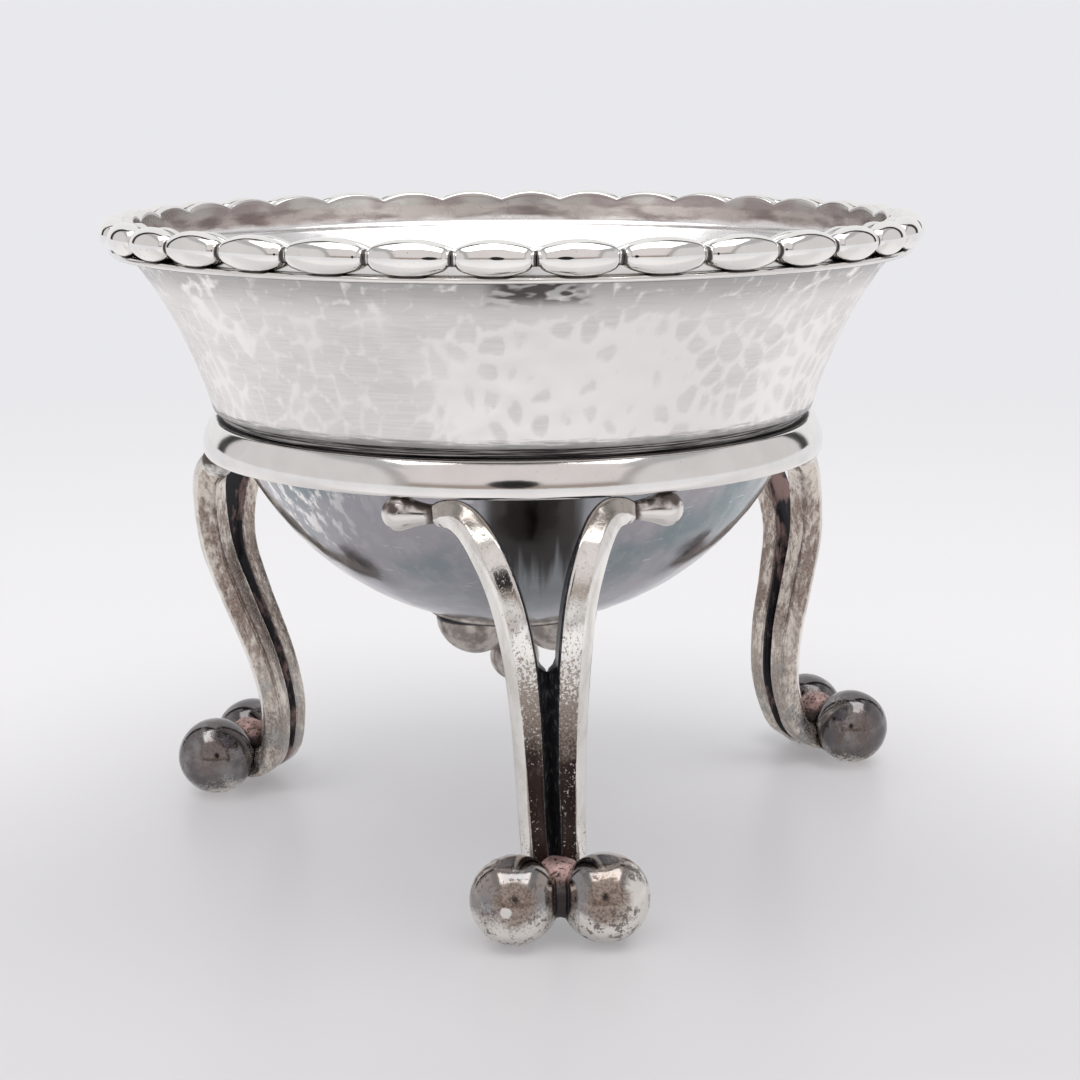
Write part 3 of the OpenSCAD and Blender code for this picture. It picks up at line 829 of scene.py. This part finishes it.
def makeRing(sizes):
    ball = bowlSizes.ballRadius
    centre = ringLow + bowlSizes.centreAboveRing
    outer = ringBox[1].x
    curve = sizes.roundRadius
    belly = ringLow + sizes.bellyHeight
    edge = sizes.edge

    def bore(z):
        return sqrt(ball * ball - (z - centre) ** 2) - sizes.overlap

    start = asin((ringLow + edge - belly) / curve)
    end = asin((ringTop - edge * 0.4 - belly) / curve)
    face = arcPoints((outer - curve, belly), curve, start, end, sizes.faceRows)
    faceTop = face[-1][0]
    outline = evenly([(bore(ringLow), ringLow), (outer - edge * 1.4, ringLow)], 0.5 * mm)
    outline += [(outer - edge * 0.45, ringLow + edge * 0.2)] + face + [(faceTop - edge * 0.5, ringTop)]
    outline += evenly([(faceTop - edge, ringTop), (bore(ringTop), ringTop)], 0.3 * mm)[1:]
    outline += evenly([(bore(ringTop), ringTop), (bore(ringLow), ringLow)], 0.6 * mm)[1:]
    bm = turned(outline, sizes.steps)
    piece = addPiece("waist_ring", bm, ["ring"], ["support_ring"])
    radii = np.hypot(*meshPoints(piece)[:, :2].T)
    points = unevenPoints(piece, sizes.wave, sizes.seed, sizes.waveDepth)
    setPoints(piece, points)
    # The solder line round the bowl, darkened with painted shade where the ring's top meets the bowl
    line = 1 - smoothStep(radii, bore(ringTop) + 0.5 * mm, bore(ringTop) + 1.0 * mm)
    setMark(piece, "oxideAndShade", line * smoothStep(points[:, 2], ringTop - 0.6 * mm, ringTop - 0.1 * mm))


makeRing(ringSizes)
print("ring made")


# Legs
legNames = ["front", "left", "right"]
sideNames = ["left", "right"]
ballRadius = 3.5 * mm


def ballCentre(leg, side):
    low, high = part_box("%s_leg_%s_ball" % (leg, side))
    return Vector(((low.x + high.x) / 2, (low.y + high.y) / 2, high.z - ballRadius))


# A bar's own line and section, in the sizes that the solid has. The hook's points are multiples of the
# ball's radius, the rise's are shares of the foot's radius and the ring's height, and the third number is a
# share of the sideways reach.
barSizes = Sizes(
    width=2.6 * mm, depth=2.6 * mm, edge=0.4 * mm, bevel=0.85 * mm, bevelRows=8,
    bevelLine=0.1 * mm, bevelStep=0.015 * mm, bevelBelly=0.42, reach=7.5 * mm,
    footRadius=32.005 * mm, topRadius=25.305 * mm, ballHeight=3.42 * mm,
    hook=[(-0.35, -0.2, 0.165), (-0.78, -0.28, 0.165), (-1.27, 0.02, 0.17), (-1.49, 0.55, 0.18),
          (-1.6, 1.5, 0.19)],
    rise=[(0.848, 0.385, 0.205), (0.899, 0.534, 0.233), (0.936, 0.667, 0.28), (0.931, 0.79, 0.372),
          (0.899, 0.885, 0.52), (0.834, 0.945, 0.7)],
    taper=[0.93, 0.93, 0.93, 0.93, 0.94, 0.96, 0.98, 1, 1, 1, 0.96, 0.86, 0.68], crotch=0.63,
    turnFrom=0.667, webInset=0.45 * mm, seam=0.3 * mm, seamLow=0.15, steps=14,
    dents=[(1.7 * mm, 3, 0.016 * mm), (0.7 * mm, 9, 0.005 * mm)],
)
legTurns = {"front": 3.35, "left": -112, "right": 120.5}
footShifts = {"front": (0.05, 0.041), "left": (0.112, -0.092), "right": (0.112, 0.023)}
legBends = {"front": 0.3, "left": -0.07, "right": -0.32}
dropSizes = Sizes(
    radius=1.425 * mm, neckRadius=0.75 * mm, seat=0.05 * mm, wave=1.6 * mm,
    waveDepth=0.03 * mm, sink=0.02 * mm, steps=40,
)


# A smooth line through a bar's points, with the bar's taper at each point
def barLine(sizes):
    foot, ball, reach = sizes.footRadius, ballRadius, sizes.reach
    tip = ringLow - dropSizes.radius + dropSizes.seat
    points = [(foot + p[0] * ball, sizes.ballHeight + p[1] * ball, p[2] * reach) for p in sizes.hook]
    points += [(p[0] * foot, p[1] * ringLow, p[2] * reach) for p in sizes.rise]
    top = sizes.topRadius
    points += [(top + 0.15 * sizes.depth, tip, 0.86 * reach), (top, tip, reach)]
    points = [Vector(p) for p in points]
    before = 2 * points[0] - points[1]
    after = Vector((points[-1].x, tip, 2 * points[-1].z - points[-2].z))
    whole = [before] + points + [after]
    line = []
    tapers = []
    for i in range(len(points) - 1):
        a, b, c, d = whole[i:i + 4]
        for step in range(sizes.steps):
            t = step / sizes.steps
            line.append(0.5 * (2 * b + (c - a) * t + (2 * a - 5 * b + 4 * c - d) * t * t
                               + (3 * b - a - 3 * c + d) * t ** 3))
            tapers.append(sizes.taper[i] + (sizes.taper[i + 1] - sizes.taper[i]) * t)
    return line + [points[-1]], tapers + [sizes.taper[-1]]


# Points of a bar's section as (across, out, kind), round from the outer side by the front to the inner side
# and the back. The kinds are 0 side and back, 1 front, 2 bevel, 3 inner edges, and 4 the web that closes the
# leg below the fork.
def barSection(sizes):
    half, deep, edge, bevel = sizes.width / 2, sizes.depth / 2, sizes.edge, sizes.bevel
    line, step, belly = (sizes[k] for k in ("bevelLine", "bevelStep", "bevelBelly"))

    def corner(cx, cy, start):
        arc = arcPoints((0, 0), edge, radians(start), radians(start + 90), 6)
        return [(cx * (half - edge) + x, cy * (deep - edge) + y) for x, y in arc]

    points = [(x, y, 0) for x, y in corner(1, -1, -90)]
    lower = Vector((half, deep - bevel))
    upper = Vector((half - bevel, deep))
    middle = Vector((half - belly * bevel, deep - belly * bevel))
    points += [(half, deep - bevel - line, 0), (half - step, deep - bevel + line * 0.4, 2)]
    for i in range(1, sizes.bevelRows):
        t = i / sizes.bevelRows
        spot = lower * (1 - t) ** 2 + (2 * middle - (lower + upper) / 2) * 2 * t * (1 - t) + upper * t * t
        points.append((spot.x, spot.y, 2))
    points += [(half - bevel - line * 0.4, deep - step, 2), (half - bevel - line, deep, 1)]
    points += [((half - bevel) * (1 - t) - (half - edge) * t, deep, 1) for t in (0.25, 0.5, 0.75)]
    points += [(x, y, 1 if i < 3 else 3) for i, (x, y) in enumerate(corner(-1, 1, 90))]
    web = deep - edge - sizes.webInset
    points += [("web", web, 4), ("web", 0, 4), ("web", -web, 4)]
    points += [(x, y, 3 if i < 4 else 0) for i, (x, y) in enumerate(corner(-1, -1, 180))]
    return points


def makeBar(leg, side, sizes):
    name = "%s_leg_%s_bar" % (leg, side)
    sign = 1 if side == "right" else -1
    line, tapers = barLine(sizes)
    section = barSection(sizes)
    swings = [asin((p.z - line[0].z) / p.x) for p in line]
    flatLine = [Vector((p.x * cos(swing), p.z, p.y)) for p, swing in zip(line, swings)]
    turn = radians(legTurns[leg])
    fork = sizes.crotch * ringLow
    centre = ballCentre(leg, side)
    last = len(line) - 1
    bm = bmesh.new()
    kindLayer = bm.verts.layers.float.new("kind")
    rings = []
    for i, place in enumerate(flatLine):
        after, before = min(i + 1, last), max(i - 1, 0)
        swing = swings[i]
        heading = (flatLine[after] - flatLine[before]).normalized()
        if i == last:
            heading = Vector((-sin(swing), cos(swing), 0))
        # The section faces square to the line below, and outwards where the bar curls aside
        flat = (line[after] - line[before]).xy.normalized()
        level = max(i / last - sizes.turnFrom, 0) / (1 - sizes.turnFrom)
        lean = (Vector((flat.y, -flat.x)) * (1 - level) + Vector((level, 0))).normalized()
        out = Vector((lean.x * cos(swing), lean.x * sin(swing), lean.y))
        face = (out - out.dot(heading) * heading).normalized()
        across = heading.cross(face)
        joined = float(smoothStep(line[i].y, 1.02 * fork, 0.97 * fork))
        seam = float(smoothStep(-line[i].y, -fork, -0.3 * fork) * (1 - sizes.seamLow) + sizes.seamLow)
        ring = []
        for x, y, kind in section:
            if kind == 4:
                free = place + tapers[i] * (y * face - sizes.width / 2 * across)
                free = free.lerp(Vector((free.x, 0, free.z)), joined)
            else:
                if x < 0:
                    x += sizes.seam * joined * seam
                free = place + tapers[i] * (y * face + x * across)
            low = max(1 - free.z / ringLow, 0)
            shear = sizes.footRadius * low * (1 + legBends[leg] * (1 - low))
            shiftX, shiftY = footShifts[leg]
            spot = Vector((free.x * sin(turn) + sign * free.y * cos(turn) + shear * shiftX,
                           sign * free.y * sin(turn) - free.x * cos(turn) + shear * shiftY,
                           min(free.z, ringLow)))
            away = spot - centre
            if away.length < ballRadius:
                spot = centre + away * (ballRadius / away.length)
            vert = bm.verts.new(spot)
            vert[kindLayer] = kind
            ring.append(vert)
        rings.append(ring)
    count = len(section)
    for a, b in zip(rings, rings[1:]):
        for j in range(count):
            bm.faces.new((a[j], a[(j + 1) % count], b[(j + 1) % count], b[j]))
    bm.faces.new(rings[0])
    bm.faces.new(rings[-1])
    bmesh.ops.recalc_face_normals(bm, faces=bm.faces)
    piece = addPiece(name + "_forged", bm, ["leg"], [name])
    points = meshPoints(piece)
    kinds = np.round(getMark(piece, "kind"))
    seed = legNames.index(leg) * 2 + sideNames.index(side)
    dents = sum(waver(points, size, seed + shift) * depth for size, shift, depth in sizes.dents)
    setPoints(piece, points + meshNormals(piece) * (dents * (kinds < 3))[:, None])
    setMark(piece, "inner", kinds >= 3)
    setMark(piece, "front", kinds == 1)
    setMark(piece, "bevel", kinds == 2)
    setMark(piece, "backLeg", np.full(len(points), 0.0 if leg == "front" else 1.0))


def makeBall(leg, side):
    name = "%s_leg_%s_ball" % (leg, side)
    centre = ballCentre(leg, side)
    other = ballCentre(leg, "right" if side == "left" else "left")
    bm = sphere(ballRadius, centre)
    piece = addPiece(name + "_tarnished", bm, ["foot"], [name])
    points = meshPoints(piece)
    away = (points - np.array(centre)) / ballRadius
    seed = legNames.index(leg) * 2 + sideNames.index(side) + 1
    points += away * (waver(points, 3.2 * mm, seed) * 0.03 * mm - 0.02 * mm)[:, None]
    points[:, 2] = np.maximum(points[:, 2], 0)
    setPoints(piece, points)
    setMark(piece, "stain", smoothStep(away @ np.array((0.0, -0.97, 0.24)), 0.7, 1.0))
    setMark(piece, "oxideAndShade", smoothStep(away @ np.array((other - centre).normalized()), 0.8, 0.93))


# A neck where the balls touch, as (radius, length), and a pool of solder behind it under the bars
solderSizes = Sizes(
    neck=[(0, -1.6), (2.6, -1.6), (1.9, -1.0), (1.5, -0.5), (1.4, 0), (1.5, 0.5), (1.9, 1.0), (2.6, 1.6),
          (0, 1.6)],
    row=0.3, steps=48, pool=(1.9 * mm, 1.8 * mm, 1.7 * mm), poolBack=1.5 * mm,
    poolRise=1.1 * mm, wave=0.8 * mm, waveDepth=0.12 * mm, seed=3,
)


def makeSolder(leg, sizes):
    a, b = ballCentre(leg, "left"), ballCentre(leg, "right")
    middle = (a + b) / 2
    across = (b - a).normalized()
    outward = across.cross(upAxis)
    if outward.dot(middle) < 0:
        outward = -outward
    bm = turned([(r * mm, z * mm) for r, z in evenly(sizes.neck, sizes.row)], sizes.steps)
    bmesh.ops.transform(bm, matrix=Matrix.Translation(middle) @ towards(across), verts=bm.verts)
    pool = bmesh.ops.create_icosphere(bm, subdivisions=4, radius=1)["verts"]
    place = Matrix.Translation(middle - outward * sizes.poolBack + upAxis * sizes.poolRise)
    bmesh.ops.transform(bm, matrix=place @ Matrix.Diagonal((*sizes.pool, 1)), verts=pool)
    piece = addPiece(leg + "_leg_solder", bm, ["solder"])
    setPoints(piece, unevenPoints(piece, sizes.wave, sizes.seed, sizes.waveDepth))


def makeDrop(leg, side, sizes):
    name = "%s_leg_%s_drop" % (leg, side)
    flat = nodePoints(name)[:, :2]
    centre = flat.mean(0)
    axis = np.linalg.eigh(np.cov((flat - centre).T))[1][:, -1]
    reach = (flat - centre) @ axis
    wide = np.abs((flat - centre) @ np.array([-axis[1], axis[0]]))
    if wide[reach > 0].max() < wide[reach < 0].max():  # the thick end is the far one
        axis, reach = -axis, -reach
    start = centre + reach.min() * axis
    length = reach.max() - reach.min()
    radius, neck = sizes.radius, sizes.neckRadius
    tilt = asin((radius - neck) / (length - radius))
    ball = arcPoints((0, length - radius), radius, -tilt, pi / 2, 18)
    waist = [(neck + (ball[0][0] - neck) * (i / 8) ** 1.6, ball[0][1] * i / 8) for i in range(8)]
    bm = turned([(0, 0)] + waist + ball[:-1] + [(0, length)], sizes.steps)
    place = Matrix.Translation((*start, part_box(name)[0].z + radius)) @ towards(Vector((*axis, 0)))
    bmesh.ops.transform(bm, matrix=place, verts=bm.verts)
    piece = addPiece(name + "_rounded", bm, ["bud"], [name])
    points = unevenPoints(piece, sizes.wave, 7, sizes.waveDepth, sizes.sink)
    points[:, 2] = np.minimum(points[:, 2], ringLow + 0.01 * mm)
    setPoints(piece, points)
    # Oxide at the neck, painted shade with oxide in spots under the ring, and the back legs' drops darker
    # all over
    along = (points[:, :2] - start) @ axis / length
    mottle = waver(points, 0.8 * mm, 11) * 0.5 + 0.5
    top = smoothStep(points[:, 2], ringLow - 1.9 * mm, ringLow - 0.5 * mm) * mottle * 1.3
    veil = 0 if leg == "front" else 0.42
    setMark(piece, "oxideAndShade", np.maximum((1 - smoothStep(along, 0.05, 0.3)) * 0.7, top + veil))


for leg in legNames:
    for side in sideNames:
        makeBar(leg, side, barSizes)
        makeBall(leg, side)
        makeDrop(leg, side, dropSizes)
    makeSolder(leg, solderSizes)
print("legs made")


# Boss under the bowl: a plate, three half balls under it and a knob on a peg
bossSizes = Sizes(
    edge=0.12 * mm, row=0.6 * mm, plateSteps=120, wave=2.5 * mm, waveDepth=0.03 * mm,
    sink=0.02 * mm, peg=0.45 * mm, pegFlare=0.25 * mm, pegRise=0.3 * mm, knobRows=26,
    knobSteps=60,
)


def makeBoss(sizes):
    edge, row, peg = sizes.edge, sizes.row, sizes.peg
    low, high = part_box("boss_plate")
    radius = high.x
    outline = evenly([(0, low.z), (radius - edge, low.z)], row)
    outline += [(radius, low.z + edge), (radius, high.z - edge)]
    outline += evenly([(radius - edge, high.z), (0, high.z)], row)
    bm = turned(outline, sizes.plateSteps)
    piece = addPiece("boss_disc", bm, ["boss"], ["boss_plate"])
    heights = meshPoints(piece)[:, 2]
    setMark(piece, "oxideAndShade", 1 - smoothStep(heights, low.z + 0.02 * mm, low.z + 0.3 * mm))
    for i in (1, 2, 3):
        name = "boss_lobe_%d" % i
        low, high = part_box(name)
        bm = sphere((high.x - low.x) / 2, ((low.x + high.x) / 2, (low.y + high.y) / 2, high.z))
        whole = bm.verts[:] + bm.edges[:] + bm.faces[:]
        cut = bmesh.ops.bisect_plane(bm, geom=whole, plane_co=(0, 0, high.z), plane_no=upAxis,
                                     clear_outer=True)
        edges = [e for e in cut["geom_cut"] if isinstance(e, bmesh.types.BMEdge)]
        bmesh.ops.holes_fill(bm, edges=edges, sides=0)
        piece = addPiece(name + "_worn", bm, ["boss"], [name])
        points = unevenPoints(piece, sizes.wave, i, sizes.waveDepth, sizes.sink)
        points[:, 2] = np.minimum(points[:, 2], high.z)
        setPoints(piece, points)
        setMark(piece, "oxideAndShade", smoothStep(points[:, 2], high.z - 0.55 * mm, high.z - 0.1 * mm))
    low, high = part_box("boss_finial")
    knob = (high.x - low.x) / 2
    flare = asin((peg + sizes.pegFlare) / knob)
    ball = arcPoints((0, low.z + knob), knob, -pi / 2, pi / 2 - flare, sizes.knobRows)
    outline = [(0, low.z)] + ball[1:] + [(peg, ball[-1][1] + sizes.pegRise), (peg, high.z), (0, high.z)]
    bm = turned(outline, sizes.knobSteps)
    piece = addPiece("boss_knob", bm, ["boss"], ["boss_finial"])
    setMark(piece, "oxideAndShade", smoothStep(meshPoints(piece)[:, 2], low.z + 1.8 * knob, low.z + 2.1 * knob))


makeBoss(bossSizes)
print("boss made")


# Studio in metres: pale floor, one softbox above the camera, grey sides, dim room behind the camera
studio = Sizes(
    floorRadius=2.5, fadeFrom=0.08, fadeTo=0.36, lift=0.25,
    softbox=Sizes(place=(0, -0.09, 0.58), aim=(0, -0.0901, 0.03), size=(0.76, 0.43), power=2.3),
)
roomTones = {
    "ground": (0.815, 0.815, 0.845), "floorFrontShade": (0.72, 0.71, 0.715),
    "floorBehind": (0.97, 0.96, 0.965), "low": (0.34, 0.285, 0.25), "high": (0.72, 0.68, 0.685),
    "sideEdge": (0.42, 0.4, 0.4), "side": (0.68, 0.66, 0.67), "ceiling": (0.14, 0.14, 0.14),
    "sideHigh": (0.45, 0.45, 0.46), "backEdge": (0.03, 0.03, 0.03), "back": (0.86, 0.86, 0.87),
}


def addDisc(name, radius, segments, place, material):
    bm = bmesh.new()
    bmesh.ops.create_circle(bm, cap_ends=True, segments=segments, radius=radius)
    bmesh.ops.transform(bm, matrix=place, verts=bm.verts)
    return addObject(name, bm, [material])


# The floor glows like the background far out, so that no horizon shows
def makeFloor():
    paint = newFinish("paleFloor", roomTones)
    here = paint.place((mm, mm, mm))
    away = paint.node("VectorMath", {"operation": "LENGTH"}, {0: here}, "Value")
    depth = here.part("Y")
    # Painted shade: the floor is darker in a band just in front of the object
    behind = depth.between(-0.03, 0.02).largest((depth * -1).between(0.052, 0.08))
    matt = paint.node("BsdfPrincipled", {}, {
        "Base Color": paint.mix(behind, "floorFrontShade", "floorBehind"),
        "Roughness": 0.32, "Specular IOR Level": 0.35})
    glow = paint.node("Emission", {}, {"Color": paint.tone("ground"), "Strength": 1})
    # The lift share of glow lies everywhere, painted light that lifts the shadows near the object
    fade = away.between(studio.fadeFrom, studio.fadeTo) * (1 - studio.lift) + studio.lift
    paint.end(paint.node("MixShader", {}, {0: fade, 1: matt, 2: glow}))
    floor = addDisc("floor", studio.floorRadius, 96, Matrix(), paint.owner)


def makeWorld():
    world = bpy.data.worlds.new("studio")
    bpy.context.scene.world = world
    paint = Finish(world, roomTones)
    way = paint.node("TexCoord", {}, {}, "Generated")
    x, y, z = (way.part(axis) for axis in "XYZ")
    wide = x.span()
    past = y - wide * 0.65
    camera = paint.node("LightPath", {}, {}, "Is Camera Ray")
    # The backdrop behind the object has a black edge. The camera itself sees only the ground.
    seen = paint.coats(paint.mix(z.between(0.06, 0.24), "low", "high"), sideEdge=wide.between(0.58, 0.62),
                       side=wide.between(0.64, 0.7), ceiling=z.between(0.84, 0.88),
                       sideHigh=wide.between(0.52, 0.56) * z.between(0.6, 0.7),
                       backEdge=past.between(0.11, 0.13), back=past.between(0.27, 0.3), ground=camera)
    glow = paint.node("Background", {}, {"Color": seen, "Strength": 1})
    paint.end(glow, "OutputWorld")


def makeSoftbox(box):
    light = bpy.data.lights.new("softbox", "AREA")
    light.shape = "RECTANGLE"
    light.size, light.size_y = box.size
    light.energy = box.power
    lamp = bpy.data.objects.new("softbox", light)
    bpy.context.scene.collection.objects.link(lamp)
    turn = towards(Vector(box.aim) - Vector(box.place), "-Z")
    lamp.matrix_world = Matrix.Translation(box.place) @ turn


# Camera at the photograph's place. Focal length and frame are in pixels of the photograph.
cameraSizes = Sizes(place=(0, -0.18959, 0.0655), yaw=0.693, pitch=12.058, roll=-0.238,
                    focal=2193, frame=1080, sensor=36, clip=0.01, front=0.03, behind=0.004)


def makeCamera(sizes):
    yaw, pitch, roll = (radians(sizes[k]) for k in ("yaw", "pitch", "roll"))
    ahead = Vector((sin(yaw) * cos(pitch), cos(yaw) * cos(pitch), -sin(pitch)))
    level = ahead.cross(upAxis).normalized()
    right = cos(roll) * level + sin(roll) * level.cross(ahead)
    up = right.cross(ahead)
    turn = Matrix((right, up, -ahead)).transposed().to_4x4()
    data = bpy.data.cameras.new("camera")
    data.sensor_fit = "HORIZONTAL"
    data.sensor_width = sizes.sensor
    data.lens = sizes.focal / sizes.frame * sizes.sensor
    data.clip_start = sizes.clip
    camera = bpy.data.objects.new("camera", data)
    bpy.context.scene.collection.objects.link(camera)
    camera.matrix_world = Matrix.Translation(sizes.place) @ turn
    bpy.context.scene.camera = camera
    # The dark front of the camera, which only the silver sees
    paint = newFinish("cameraBlack")
    paint.end(paint.node("BsdfDiffuse", {}, {"Color": (0.02, 0.02, 0.02, 1)}))
    place = Matrix.Translation(Vector(sizes.place) - ahead * sizes.behind) @ turn
    front = addDisc("cameraFront", sizes.front, 48, place, paint.owner)
    front.visible_camera = front.visible_diffuse = front.visible_shadow = False


makeFloor()
makeWorld()
makeSoftbox(studio.softbox)
makeCamera(cameraSizes)
bpy.context.scene.view_settings.view_transform = "Standard"
print("studio made")
